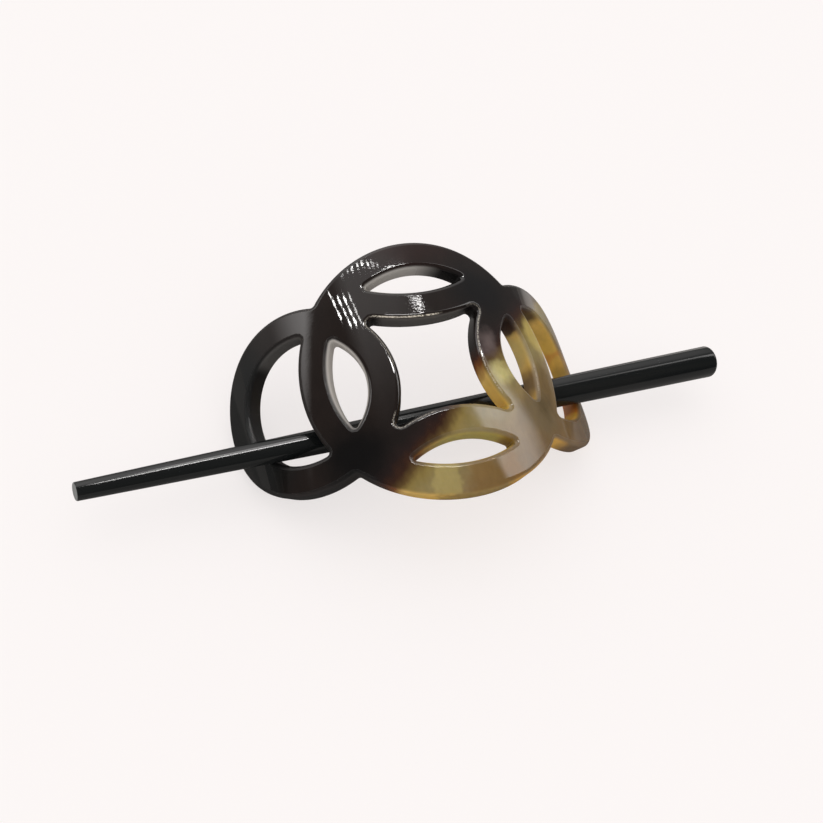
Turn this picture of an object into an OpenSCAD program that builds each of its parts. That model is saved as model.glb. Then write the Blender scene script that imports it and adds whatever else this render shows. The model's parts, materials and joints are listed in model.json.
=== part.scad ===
// Stick barrette carved from horn: an arched openwork plate of overlapping rings, and a tapered stick.
// The plate is drawn flat as s (along), t (across) and n (out of its face), then bent over a cylinder.
// It lies as it rests by itself on a table: +Z up, X along the barrette, origin on the table.
// The stick passes the plate with 0.05 to 0.25 mm to spare, and the ranges keep it clear of the plate.

/* [Openwork plate] */
// Radius of the centre ring, to the middle of its band
ring_r = 26.4; // [25.6:0.1:26.5]
// Radius of each end ring, to the middle of its band
end_r = 17.3; // [17.2:0.1:18.2]
// Distance of each end ring's centre from the middle of the plate, measured along the arch
end_s = 29.6; // [29.5:0.1:30.4]
// Radius of the two inner arcs that close the top and bottom lenses, to the middle of their band
arc_r = 25.9; // [24.5:0.1:27]
// Distance of each inner arc's centre of curvature from the middle of the plate
arc_t = 39.6; // [38.6:0.1:40.4]
// Width of every band
band_w = 6.75; // [5.8:0.05:6.85]
// Thickness of the horn
thickness = 4; // [3:0.1:4.1]
// Radius of the arch, to the middle of the thickness
arch_r = 45.5; // [44:0.1:45.5]

/* [Edges] */
// Rounding of the front edges
front_round = 1.1; // [0.9:0.05:1.4]
// Rounding of the back edges
back_round = 0.55; // [0.45:0.05:1.2]
// Radius of the fillet in each corner of the openwork
fillet_r = 0.9; // [0.5:0.05:1.2]

/* [Stick] */
// Length of the stick
stick_len = 151; // [131:1:180]
// Radius at the thin end
thin_r = 1.9; // [1.5:0.05:2]
// Radius half way along
middle_r = 3.05; // [2.6:0.05:3.05]
// Radius at the thick end
thick_r = 3.85; // [3.2:0.05:3.85]
// Rounding of the thin end's rim
thin_rim = 0.7; // [0.3:0.1:1.2]
// Rounding of the thick end's rim
thick_rim = 1.1; // [0.3:0.1:1.8]

/* [Stick's place in the plate] */
// How far below the plate's middle line the stick crosses the left end ring's opening
left_t = 8.08; // [7:0.02:8.7]
// How far below the plate's middle line the stick crosses the right end ring's opening
right_t = 4.94; // [4:0.02:5.4]
// Where the stick crosses the left opening: 0 at the centre ring, 1 at the end ring's outer limb
left_cross = 0.54; // [0.515:0.005:0.575]
// Where the stick crosses the right opening, in the same way
right_cross = 0.555; // [0.55:0.005:0.56]
// How far the stick's middle lies from the plate's middle, towards the thin end
stick_shift = 0.6; // [-5.4:0.1:4.8]

/* [Rest] */
// Lean of the plate on the table about its long axis, in degrees
lean = 13.6; // [0:0.1:30]

/* [Hidden] */

// Steps along the bands that leave each knot: centre ring's top, inner arc, end ring's inner limb,
// centre ring's side and end ring's outer limb
arm_steps = [8, 6, 6, 5, 17];
// Steps round each fillet, round the front and back edges, and along the stick
fillet_steps = 4;
front_steps = 4;
back_steps = 2;
stick_steps = 12;
rim_steps = 5;

// Edges of the bands: centre, radius, and 1 where the opening lies outside the circle or -1 inside it
ring_out = [[0, 0], ring_r + band_w / 2, 1];
ring_in = [[0, 0], ring_r - band_w / 2, -1];
end_out = [[end_s, 0], end_r + band_w / 2, 1];
end_in = [[end_s, 0], end_r - band_w / 2, -1];
arc_low = [[0, arc_t], arc_r + band_w / 2, 1];
arc_high = [[0, arc_t], arc_r - band_w / 2, -1];

// The five stretches of outline in the quarter with s and t above 0, anticlockwise, each an edge,
// a fillet and a second edge: edge, bearing it starts at, edge, bearing it ends at, and which of
// the two meeting points the fillet fills
STRETCHES = [
    [end_out, 0, ring_out, 90, -1],     // outside of the plate
    [ring_in, 90, arc_high, -90, -1],   // top lens
    [arc_low, -90, end_out, 180, -1],   // centre opening
    [end_in, 180, ring_in, 0, -1],      // side lens
    [ring_out, 0, end_in, 0, 1],        // crescent in the end ring
];
STRETCH_COUNT = len(STRETCHES);

// Point where two circles meet, on the left of the line from a to b for side 1, on the right for -1
function meeting(a, ra, b, rb, side) =
    let (apart = norm(b - a), ahead = (ra * ra - rb * rb + apart * apart) / (2 * apart),
         u = (b - a) / apart)
    a + ahead * u + side * sqrt(ra * ra - ahead * ahead) * [-u[1], u[0]];

// Bearing of a point seen from a centre, and the short turn from one bearing to another
function bearing(centre, p) = atan2(p[1] - centre[1], p[0] - centre[0]);
function short_turn(from, to) = (to - from + 540) % 360 - 180;

// Points round an arc by the short way
function arc(centre, r, from, to, steps) =
    [for (i = [0:steps]) let (a = from + short_turn(from, to) * i / steps) centre + r * [cos(a), sin(a)]];

// One stretch of outline, moved into the horn by inset: first arc, fillet, second arc
function stretch(k, inset) =
    let (piece = STRETCHES[k], a = piece[0], b = piece[2],
         f = meeting(a[0], a[1] + a[2] * fillet_r, b[0], b[1] + b[2] * fillet_r, piece[4]),
         first_steps = arm_steps[(k + STRETCH_COUNT - 1) % STRETCH_COUNT],
         flip_a = a[2] > 0 ? 180 : 0, flip_b = b[2] > 0 ? 180 : 0,
         at_a = bearing(a[0], f), at_b = bearing(b[0], f))
    concat(arc(a[0], a[1] - a[2] * inset, piece[1], at_a, first_steps),
           [for (i = [1:fillet_steps - 1])
               let (w = at_a + flip_a + short_turn(at_a + flip_a, at_b + flip_b) * i / fillet_steps)
               f + (fillet_r + inset) * [cos(w), sin(w)]],
           arc(b[0], b[1] - b[2] * inset, at_b, piece[3], arm_steps[k]));

// Whole outline of the quarter at one inset
function outline(inset) = [for (k = [0:STRETCH_COUNT - 1]) each stretch(k, inset)];

// Levels of the section from the front face to the back: height n and inset
LEVELS = concat(
    [for (i = [0:front_steps]) let (a = 90 - 90 * i / front_steps)
        [thickness / 2 - front_round * (1 - sin(a)), front_round * (1 - cos(a))]],
    [for (i = [0:back_steps]) let (a = 90 * i / back_steps)
        [-thickness / 2 + back_round * (1 - sin(a)), back_round * (1 - cos(a))]]);
LEVEL_COUNT = len(LEVELS);

// Point of the flat plate, p = [s, t] at height n, bent over the arch
function bent(p, n) =
    let (a = p[0] / arch_r * 180 / PI)
    [(arch_r + n) * sin(a), p[1], (arch_r + n) * cos(a) - arch_r];

// Where each stretch starts in the outline, and where its fillet starts
function stretch_len(k) = arm_steps[(k + STRETCH_COUNT - 1) % STRETCH_COUNT] + fillet_steps + arm_steps[k] + 1;
function stretch_start(k) = k == 0 ? 0 : stretch_start(k - 1) + stretch_len(k - 1);
function fillet_start(k) = stretch_start(k) + arm_steps[(k + STRETCH_COUNT - 1) % STRETCH_COUNT];
LOOP_LEN = stretch_start(STRETCH_COUNT);

// Corners of the knot where the five bands of a quarter meet, one run of points round each fillet
KNOT = [for (k = [0:STRETCH_COUNT - 1], i = [0:fillet_steps]) fillet_start(k) + i];
function knot_centre(level) =
    let (loop = outline(level[1]), sum = [for (i = KNOT) 1] * [for (i = KNOT) loop[i]])
    bent(sum / len(KNOT), level[0]);

function quad(a, b, c, d) = [[a, b, c], [a, c, d]];

// Triangles that cover the loop of one level, anticlockwise seen from the front: the five bands that
// leave the knot, each between two stretches, then a fan over the knot round its centre
function cover(first, centre) = concat(
    [for (k = [0:STRETCH_COUNT - 1])
        let (a = first + fillet_start(k) + fillet_steps,
             b = first + (k == STRETCH_COUNT - 1 ? 0 : stretch_start(k + 1)) + arm_steps[k])
        for (i = [0:arm_steps[k] - 1]) each quad(a + i, a + i + 1, b - i - 1, b - i)],
    [for (i = [0:len(KNOT) - 1]) [centre, first + KNOT[i], first + KNOT[(i + 1) % len(KNOT)]]]);
function reversed(face) = [face[2], face[1], face[0]];

PLATE_POINTS = [for (level = LEVELS, p = outline(level[1])) bent(p, level[0])];

// One quarter of the plate: a stack of outlines, closed by its front and its back
module plate_quarter() {
    front_centre = LEVEL_COUNT * LOOP_LEN;
    back_centre = front_centre + 1;
    walls = [for (j = [0:LEVEL_COUNT - 2], i = [0:LOOP_LEN - 1])
        let (next = (i + 1) % LOOP_LEN, here = j * LOOP_LEN, below = here + LOOP_LEN)
        each quad(here + i, here + next, below + next, below + i)];
    polyhedron(
        points = concat(PLATE_POINTS, [knot_centre(LEVELS[0]), knot_centre(LEVELS[LEVEL_COUNT - 1])]),
        faces = concat([for (face = cover(0, front_centre)) reversed(face)], walls,
                       cover((LEVEL_COUNT - 1) * LOOP_LEN, back_centre)));
}

// Radius of the stick at w, 0 at the thin end and 1 at the thick end, on a curve through three radii
function stick_radius(w) =
    2 * thin_r * (w - 0.5) * (w - 1) - 4 * middle_r * w * (w - 1) + 2 * thick_r * w * (w - 0.5);

// Half outline of the stick, from the thin end's middle to the thick end's middle
STICK_OUTLINE = concat(
    [[0, -stick_len / 2]],
    [for (i = [0:rim_steps]) let (a = 90 * i / rim_steps)
        [thin_r - thin_rim * (1 - sin(a)), -stick_len / 2 + thin_rim * (1 - cos(a))]],
    [for (i = [1:stick_steps - 1]) let (w = i / stick_steps)
        [stick_radius(w), (w - 0.5) * stick_len]],
    [for (i = [0:rim_steps]) let (a = 90 - 90 * i / rim_steps)
        [thick_r - thick_rim * (1 - sin(a)), stick_len / 2 - thick_rim * (1 - cos(a))]],
    [[0, stick_len / 2]]);

// Point where the stick's axis passes through the middle of the horn, in the opening of the end ring
// on one side: -1 left, 1 right
function crossing(side, t, share) =
    let (ring_edge = sqrt(pow(ring_r + band_w / 2, 2) - t * t),
         end_edge = end_s + sqrt(pow(end_r - band_w / 2, 2) - t * t))
    bent([side * (ring_edge + share * (end_edge - ring_edge)), -t], 0);
LEFT_CROSSING = crossing(-1, left_t, left_cross);
RIGHT_CROSSING = crossing(1, right_t, right_cross);

// Direction of the stick, from its thin end to its thick end, and its middle in the arched plate
STICK_AXIS = (RIGHT_CROSSING - LEFT_CROSSING) / norm(RIGHT_CROSSING - LEFT_CROSSING);
STICK_MIDDLE = LEFT_CROSSING - (stick_shift + LEFT_CROSSING[0]) / STICK_AXIS[0] * STICK_AXIS;

// Rest: the plate leans about X and its box's bottom centre comes to the origin
function leaned(p) =
    [p[0], p[1] * cos(lean) - p[2] * sin(lean), p[1] * sin(lean) + p[2] * cos(lean)];
LEANED = [for (p = PLATE_POINTS, side = [-1, 1]) leaned([p[0], side * p[1], p[2]])];
STICK_ENDS = [for (side = [-1, 1]) (STICK_MIDDLE + side * stick_len / 2 * STICK_AXIS)[0]];
REST_MOVE = [-(STICK_ENDS[0] + STICK_ENDS[1]) / 2,
             -(min([for (p = LEANED) p[1]]) + max([for (p = LEANED) p[1]])) / 2,
             -min([for (p = LEANED) p[2]])];
module at_rest() {
    translate(REST_MOVE) rotate([lean, 0, 0]) children();
}

module openwork_plate() {
    color([0.22, 0.19, 0.15])
        at_rest()
            for (end = [0, 1], edge = [0, 1])
                mirror([end, 0, 0]) mirror([0, edge, 0]) plate_quarter();
}

module stick() {
    color([0.06, 0.055, 0.05])
        at_rest()
            translate(STICK_MIDDLE) rotate([0, acos(STICK_AXIS[2]), atan2(STICK_AXIS[1], STICK_AXIS[0])])
                rotate_extrude($fn = 64) polygon(STICK_OUTLINE);
}

openwork_plate();
stick();
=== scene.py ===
# %% [markdown]
# # Horn stick barrette: an arched openwork plate of overlapping rings, and a tapered stick
#
# The barrette is two pieces of horn. The plate was sawn from a flat slice, softened by heat and bent
# over a former, and the stick was turned. This lesson follows the same order: draw the flat plate with
# compass arcs, cut it out, round its edges, bend it, lay it down, then turn the stick and push it in.
# The packed CAD model gives the frame, so every piece ends up exactly where its solid is.

import json
import math

import bmesh
import bpy
import numpy as np
from mathutils import Matrix, Vector


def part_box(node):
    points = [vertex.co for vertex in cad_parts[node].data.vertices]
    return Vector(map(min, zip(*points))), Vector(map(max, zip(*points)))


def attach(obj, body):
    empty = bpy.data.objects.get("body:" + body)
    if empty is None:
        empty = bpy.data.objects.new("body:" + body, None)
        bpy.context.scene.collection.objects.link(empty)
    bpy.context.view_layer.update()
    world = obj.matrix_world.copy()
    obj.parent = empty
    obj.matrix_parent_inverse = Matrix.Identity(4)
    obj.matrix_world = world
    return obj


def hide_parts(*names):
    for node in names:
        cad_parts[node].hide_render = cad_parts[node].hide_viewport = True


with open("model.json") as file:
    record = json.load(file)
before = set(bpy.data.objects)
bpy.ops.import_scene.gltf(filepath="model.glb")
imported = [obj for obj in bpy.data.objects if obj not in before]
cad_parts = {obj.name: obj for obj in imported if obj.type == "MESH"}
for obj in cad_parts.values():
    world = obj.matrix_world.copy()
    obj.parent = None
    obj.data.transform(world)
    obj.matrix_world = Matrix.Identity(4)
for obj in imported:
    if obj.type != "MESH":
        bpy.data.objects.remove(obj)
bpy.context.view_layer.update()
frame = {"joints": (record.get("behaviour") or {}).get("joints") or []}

# %% [markdown]
# ## Selecting by place
#
# Blender's edit-mode operators act on whatever is selected, so each step starts by choosing vertices or
# faces. By hand that is a click, and in code it is a test on each element's place or normal.
#
# The flat plate is drawn with 1 unit = 1 mm, which keeps the tolerances of Blender's operators well away
# from the sizes of the part, and is shrunk to metres at the end.

# %% Selection helpers
MM = 0.001
WELD = 0.001  # points of the flat plate that are closer than this are one point, in mm


def make_active(obj):
    """Selects one object alone and makes it the active one."""
    bpy.ops.object.select_all(action="DESELECT")
    obj.select_set(True)
    bpy.context.view_layer.objects.active = obj


def pick(obj, test, kind="faces"):
    """In edit mode, selects the vertices, edges or faces that pass a test, and counts them."""
    bm = bmesh.from_edit_mesh(obj.data)
    for group in (bm.faces, bm.edges, bm.verts):
        for item in group:
            item.select = False
    chosen = [item for item in getattr(bm, kind) if test(item)]
    for item in chosen:
        item.select_set(True)
    bm.select_flush_mode()
    bmesh.update_edit_mesh(obj.data)
    return len(chosen)


print("the plate is drawn in units of", MM, "metres and welded within", WELD, "of them")

# %% [markdown]
# ## Measuring a mesh
#
# An operator can do nothing, or turn a mesh inside out, without a word. So the lesson measures what it
# makes: the box of a mesh shows whether it has its size, and its volume whether its faces point outwards.
# Modifiers are applied as soon as they are made, so that the next step acts on real faces.

# %% Measuring helpers
def mesh_box(obj):
    """Lowest and highest corners of a mesh."""
    points = np.zeros(len(obj.data.vertices) * 3, np.float32)
    obj.data.vertices.foreach_get("co", points)
    points = points.reshape(-1, 3)
    return Vector([float(v) for v in points.min(0)]), Vector([float(v) for v in points.max(0)])


def volume(obj):
    """Volume in cubic centimetres, which is negative where a mesh is inside out."""
    bm = bmesh.new()
    bm.from_mesh(obj.data)
    cubic_metres = bm.calc_volume(signed=True)
    bm.free()
    return cubic_metres * 1e6


def apply_modifiers(obj):
    """Applies all of an object's modifiers, first to last."""
    make_active(obj)
    for modifier in list(obj.modifiers):
        bpy.ops.object.modifier_apply(modifier=modifier.name)


for node in ("openwork_plate", "stick"):
    print("solid", node, "of", round(volume(bpy.data.objects[node]), 2), "cubic centimetres")

# %% [markdown]
# ## The plate's outline
#
# Every edge of the openwork is an arc of a circle: one centre ring, a smaller ring at each end, and an
# inner arc at the top and the bottom. Where two arcs meet, the saw and file left a small fillet. A curve
# or a picture could be traced instead, but arcs with named centres and radii stay true and easy to change.
#
# The pattern is symmetrical both ways, so only a quarter is drawn. In it, six circles meet in five
# stretches of outline: two long arcs each, joined by a fillet.

# %% Sizes of the plate, in millimetres
RING_R, END_R, END_S = 26.4, 17.3, 29.6  # centre ring, end rings, and where the end rings are centred
ARC_R, ARC_T = 25.9, 39.6  # inner arcs, and how far from the middle they are centred
BAND_W, THICKNESS = 6.75, 4.0
ARCH_R = 45.5  # radius of the bend, to the middle of the thickness
FRONT_ROUND, BACK_ROUND = 1.1, 0.55  # the back edges are crisper than the front ones
HALF_BAND = BAND_W / 2
HALF_LENGTH = END_S + END_R + HALF_BAND

# A circle of the pattern: centre, radius, and 1 where the opening lies outside it or -1 inside it
RING_OUT = ((0, 0), RING_R + HALF_BAND, 1)
RING_IN = ((0, 0), RING_R - HALF_BAND, -1)
END_OUT = ((END_S, 0), END_R + HALF_BAND, 1)
END_IN = ((END_S, 0), END_R - HALF_BAND, -1)
ARC_LOW = ((0, ARC_T), ARC_R + HALF_BAND, 1)
ARC_HIGH = ((0, ARC_T), ARC_R - HALF_BAND, -1)

# First circle and the bearing where it starts, second circle and the bearing where it ends, which of
# their two meeting points has the fillet, and the fillet's radius, smaller where only a thin file fits
STRETCHES = [
    (END_OUT, 0, RING_OUT, 90, -1, 0.9),  # outside of the plate
    (RING_IN, 90, ARC_HIGH, -90, -1, 0.5),  # top lens
    (ARC_LOW, -90, END_OUT, 180, -1, 0.95),  # centre opening
    (END_IN, 180, RING_IN, 0, -1, 0.6),  # side lens
    (RING_OUT, 0, END_IN, 0, 1, 0.7),  # crescent in the end ring
]
print("flat plate:", round(2 * HALF_LENGTH, 2), "mm long and", 2 * (RING_R + HALF_BAND), "mm across")

# %% [markdown]
# ## The compass
#
# A fillet touches both of its circles, so its centre is where the two would meet if each were drawn
# wider or narrower by the fillet's radius. That takes three tools: where two circles meet, the bearing
# of a point from a centre, and a compass that draws an arc. A spin of one vertex about a centre is
# Blender's compass. Arcs could also be cut out of whole circles, but that leaves scraps to clear away.

# %% Compass helpers
POINT_GAP = 0.55  # distance between points along an outline, in mm
DOT_R = 0.01  # radius of the tiny circle that is merged into a single vertex, in mm


def meeting(centre_a, radius_a, centre_b, radius_b, side):
    """Where two circles meet, on the left of the line from a to b for side 1, on the right for -1."""
    line = Vector(centre_b) - Vector(centre_a)
    apart, way = line.length, line.normalized()
    ahead = (radius_a**2 - radius_b**2 + apart**2) / (2 * apart)
    aside = side * math.sqrt(radius_a**2 - ahead**2)
    return Vector(centre_a) + ahead * way + aside * Vector((-way.y, way.x))


def bearing(centre, point):
    """Direction of a point from a centre, in degrees from the plate's length."""
    return math.degrees(math.atan2(point[1] - centre[1], point[0] - centre[0]))


def compass(centre, radius, start, end):
    """Spins one vertex about a centre, from one bearing to another by the short way, in degrees."""
    turn = (end - start + 540) % 360 - 180
    steps = max(3, round(abs(math.radians(turn)) * radius / POINT_GAP))
    first = Vector(centre) + radius * Vector((math.cos(math.radians(start)), math.sin(math.radians(start))))
    bpy.ops.mesh.select_all(action="DESELECT")
    bpy.ops.mesh.primitive_circle_add(vertices=3, radius=DOT_R, location=(first.x, first.y, 0))
    bpy.ops.mesh.merge(type="CENTER")
    bpy.ops.mesh.spin(steps=steps, angle=-math.radians(turn), center=(*centre, 0), axis=(0, 0, 1))


crossing = meeting(RING_OUT[0], RING_R, END_OUT[0], END_R, 1)
print("the centre ring and the end ring cross at, mm:", [round(v, 2) for v in crossing])

# %% [markdown]
# ## One quarter, mirrored both ways
#
# A circle primitive gives the object, and its vertices are deleted again, so that the mesh starts empty.
# Each stretch of outline then adds two long arcs and the fillet between them. The Mirror modifier makes
# the other three quarters and welds them where they touch, which turned copies of the quarter wouldn't.

# %% Draw the quarter and mirror it
bpy.ops.object.select_all(action="DESELECT")
bpy.ops.mesh.primitive_circle_add(vertices=3, radius=DOT_R)
plate = bpy.context.object
plate.name = "plate_of_rings"
bpy.ops.object.mode_set(mode="EDIT")
bpy.ops.mesh.select_all(action="SELECT")
bpy.ops.mesh.delete(type="VERT")
for circle_a, start, circle_b, end, side, fillet_r in STRETCHES:
    (centre_a, radius_a, open_a), (centre_b, radius_b, open_b) = circle_a, circle_b
    fillet = meeting(centre_a, radius_a + open_a * fillet_r, centre_b, radius_b + open_b * fillet_r, side)
    at_a, at_b = bearing(centre_a, fillet), bearing(centre_b, fillet)
    compass(centre_a, radius_a, start, at_a)
    compass(centre_b, radius_b, at_b, end)
    # Outside a circle, the fillet touches it on the side that faces the circle's centre
    compass(fillet, fillet_r, at_a + (180 if open_a > 0 else 0), at_b + (180 if open_b > 0 else 0))
bpy.ops.object.mode_set(mode="OBJECT")
mirror = plate.modifiers.new("both ways", "MIRROR")
mirror.use_axis = (True, True, False)
mirror.merge_threshold = WELD
apply_modifiers(plate)
bpy.ops.object.mode_set(mode="EDIT")
bpy.ops.mesh.select_all(action="SELECT")
bpy.ops.mesh.remove_doubles(threshold=WELD)
open_ends = pick(plate, lambda v: len(v.link_edges) != 2, "verts")
print("outline points:", len(bmesh.from_edit_mesh(plate.data).verts), "loose ends:", open_ends)

# %% [markdown]
# ## Cutting out and rounding
#
# Filling the eight closed outlines gives the flat shape with its seven openings. The sheet is extruded
# to the height of the straight wall, and then the front and the back are inset a little at a time, each
# inset a step further along a quarter circle. That rounds every edge evenly, as the polishing wheel
# does. A bevel would stumble over the many small faces at the corners.

# %% Fill, extrude and round
WALL_LOW, WALL_HIGH = -THICKNESS / 2 + BACK_ROUND, THICKNESS / 2 - FRONT_ROUND
FRONT_STEPS, BACK_STEPS = 6, 5
LEVEL_SLACK, FLAT_ENOUGH = 0.01, 0.9  # how near a level a face lies, in mm, and how upright its normal is
bpy.ops.mesh.select_all(action="SELECT")
bpy.ops.mesh.fill(use_beauty=True)
bpy.ops.mesh.select_all(action="SELECT")
bpy.ops.transform.translate(value=(0, 0, WALL_LOW))
bpy.ops.mesh.extrude_region_move(TRANSFORM_OT_translate={"value": (0, 0, WALL_HIGH - WALL_LOW)})
bpy.ops.mesh.select_all(action="SELECT")
bpy.ops.mesh.normals_make_consistent(inside=False)


def round_edge(level, radius, steps):
    """Insets the flat face at one level in steps that follow a quarter circle."""
    pick(plate, lambda face: abs(face.calc_center_median().z - level) < LEVEL_SLACK
         and abs(face.normal.z) > FLAT_ENOUGH)
    for i in range(steps):
        a, b = (math.radians(90 * k / steps) for k in (i, i + 1))
        bpy.ops.mesh.inset(
            thickness=radius * (math.cos(a) - math.cos(b)),
            depth=radius * (math.sin(b) - math.sin(a)),
            use_even_offset=True,
        )


round_edge(WALL_HIGH, FRONT_ROUND, FRONT_STEPS)
round_edge(WALL_LOW, BACK_ROUND, BACK_STEPS)
heights = [v.co.z for v in bmesh.from_edit_mesh(plate.data).verts]
print("flat plate from", round(min(heights), 3), "to", round(max(heights), 3), "mm")

# %% [markdown]
# ## Lines to bend at, and a note of the flat places
#
# A sheet can only bend where it has edges, so the plate is bisected every 0.7 mm along its length. A
# Remesh would give it edges too, but would lose the crisp outline. Then each point's flat place is stored
# in an attribute, so that the horn's clouds can later be painted on the flat pattern.

# %% Bisect and note the flat places
CUT_GAP = 0.7
CUT_START = 0.37  # as a share of the gap, which keeps the cuts off the outlines' own middle points
SLIVER = 0.0005  # edges shorter than this are dissolved, in mm
for i in range(-int(HALF_LENGTH / CUT_GAP), int(HALF_LENGTH / CUT_GAP) + 1):
    bpy.ops.mesh.select_all(action="SELECT")
    bpy.ops.mesh.bisect(plane_co=((i + CUT_START) * CUT_GAP, 0, 0), plane_no=(1, 0, 0))
bpy.ops.mesh.select_all(action="SELECT")
bpy.ops.mesh.dissolve_degenerate(threshold=SLIVER)
bpy.ops.object.mode_set(mode="OBJECT")
flat = np.zeros(len(plate.data.vertices) * 3, np.float32)
plate.data.vertices.foreach_get("co", flat)
plate.data.attributes.new("flat_mm", "FLOAT_VECTOR", "POINT").data.foreach_set("vector", flat)
print("flat plate:", len(plate.data.vertices), "points,", len(plate.data.polygons), "faces")

# %% [markdown]
# ## Bending over the former
#
# The real plate was softened and pressed round a former. Simple Deform does the same to a sheet that
# stands in the X-Z plane, round the Z axis, so the plate is stood up first. The angle of the bend is the
# plate's length over the radius of the former. A curve and a Curve modifier would do it as well, with
# one more object to keep.

# %% Stand up and bend
make_active(plate)
bpy.ops.object.mode_set(mode="EDIT")
bpy.ops.mesh.select_all(action="SELECT")
bpy.ops.transform.rotate(value=-math.radians(90), orient_axis="X", center_override=(0, 0, 0))
bpy.ops.object.mode_set(mode="OBJECT")
ends = mesh_box(plate)
bend = plate.modifiers.new("former", "SIMPLE_DEFORM")
bend.deform_method = "BEND"
bend.deform_axis = "Z"
bend.angle = (ends[1].x - ends[0].x) / ARCH_R
apply_modifiers(plate)
print("bent, mm:", [round(v, 2) for v in (*mesh_box(plate)[0], *mesh_box(plate)[1])])

# %% [markdown]
# ## Laying the plate down
#
# The bent plate is shrunk to metres, laid on its back and leaned the 13.6 degrees at which it rests by
# itself, with the stick's side lower. Its box is then brought onto the box of the CAD solid that it
# stands for, which is the surest way to put it in the same place. The solid is faceted, so the rounder
# mesh would stand out by a few hundredths of a millimetre, and each side is eased in by that much.

# %% Lay down, lean and place
LEAN = 13.6  # degrees that the plate leans as it rests
SOFT_BEND, SHARP_BEND = math.radians(40), math.radians(35)  # bends up to these shade smoothly


def onto_solid(obj, node):
    """Moves a mesh onto its solid, box on box, and prints how little its sides had to change, in mm."""
    low, high = mesh_box(obj)
    solid_low, solid_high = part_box(node)
    own, wanted = high - low, solid_high - solid_low
    ease = Matrix.Diagonal([b / a for a, b in zip(own, wanted)]).to_4x4()
    obj.data.transform(Matrix.Translation(solid_low) @ ease @ Matrix.Translation(-low))
    print(node, "sides, mm:", [round(1000 * v, 2) for v in own],
          "eased by", [round(1000 * v, 3) for v in wanted - own])


make_active(plate)
bpy.ops.object.mode_set(mode="EDIT")
bpy.ops.mesh.select_all(action="SELECT")
bpy.ops.transform.resize(value=(MM, MM, MM), center_override=(0, 0, 0))
bpy.ops.transform.rotate(value=math.radians(90 - LEAN), orient_axis="X", center_override=(0, 0, 0))
bpy.ops.object.mode_set(mode="OBJECT")
onto_solid(plate, "openwork_plate")
bpy.ops.object.mode_set(mode="EDIT")
bpy.ops.mesh.select_all(action="SELECT")
bpy.ops.mesh.normals_make_consistent(inside=False)
bpy.ops.object.mode_set(mode="OBJECT")
bpy.ops.object.shade_smooth_by_angle(angle=SOFT_BEND)
print("plate of", round(volume(plate), 2), "cubic centimetres")

# %% [markdown]
# ## A true mirror
#
# The polished face is nearly a mirror, and the little facets between the bend lines would show in it as
# ticks. So every point on the two broad faces is told the arch's true direction there, as a normal of
# its own, and the rounded edges and the walls keep the normals that Blender works out. A finer mesh would
# do the same with ten times the faces.

# %% Normals of the broad faces
ON_FACE = 0.0001  # how near the level of a broad face its points lie, in mm
flat = flat.reshape(-1, 3)
round_former = flat[:, 0] / ARCH_R
up = np.where(np.abs(flat[:, 2]) > THICKNESS / 2 - ON_FACE, np.sign(flat[:, 2]), 0)
lean_sin, lean_cos = math.sin(math.radians(LEAN)), math.cos(math.radians(LEAN))
true_normals = np.stack([up * np.sin(round_former), -up * np.cos(round_former) * lean_sin,
                         up * np.cos(round_former) * lean_cos], axis=1)
plate.data.normals_split_custom_set_from_vertices(true_normals.tolist())
print("points with the arch's own normal:", int(np.count_nonzero(up)))

# %% [markdown]
# ## The stick
#
# The stick is turned: round everywhere, 3.8 mm thick at the tip and 7.7 mm at the head, on a very
# slight curve. A cylinder could be tapered with a lattice, but a turned piece is quickest made as it
# grows on the lathe: one disc, extruded and resized station by station, with the rims rounded in small
# steps. It is made upright in millimetres, with the thin end down.

# %% Turn the stick
STICK_LEN, THIN_R, MIDDLE_R, THICK_R = 151.0, 1.9, 3.05, 3.85
THIN_RIM, THICK_RIM = 0.35, 1.0
STICK_SIDES, STICK_STATIONS, RIM_STEPS = 96, 30, 7


def stick_radius(share):
    """Radius at a share of the length, from the thin end, on a curve through three radii."""
    thin, middle, thick = (share - 0.5) * (share - 1), share * (share - 1), share * (share - 0.5)
    return 2 * THIN_R * thin - 4 * MIDDLE_R * middle + 2 * THICK_R * thick


rim_turns = [math.radians(90 * i / RIM_STEPS) for i in range(RIM_STEPS + 1)]
shares = [i / STICK_STATIONS for i in range(1, STICK_STATIONS)]
stations = [(THIN_R - THIN_RIM * (1 - math.sin(a)), THIN_RIM * (1 - math.cos(a))) for a in rim_turns]
stations += [(stick_radius(share), STICK_LEN * share) for share in shares]
stations += [(THICK_R - THICK_RIM * (1 - math.sin(a)), STICK_LEN - THICK_RIM * (1 - math.cos(a)))
             for a in reversed(rim_turns)]
bpy.ops.object.select_all(action="DESELECT")
bpy.ops.mesh.primitive_circle_add(vertices=STICK_SIDES, radius=stations[0][0], fill_type="NGON")
stick = bpy.context.object
stick.name = "turned_stick"
bpy.ops.object.mode_set(mode="EDIT")
bpy.ops.mesh.select_all(action="SELECT")
for (r0, z0), (r1, z1) in zip(stations, stations[1:]):
    bpy.ops.mesh.extrude_region_move(TRANSFORM_OT_translate={"value": (0, 0, z1 - z0)})
    bpy.ops.transform.resize(value=(r1 / r0, r1 / r0, 1), center_override=(0, 0, z1))
bpy.ops.mesh.select_all(action="SELECT")
bpy.ops.mesh.normals_make_consistent(inside=False)
print("stick:", len(stations), "stations,", len(bmesh.from_edit_mesh(stick.data).faces), "faces")

# %% [markdown]
# ## The sawn end
#
# The thin end was sawn off a little askew, and its pale end face looks up and forwards. The end could be
# cut off with a bisect, but that would leave a sharp rim. Sliding the points of the rim along the stick,
# the further the nearer they are to that side, slants the face and keeps the rim round.

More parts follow.
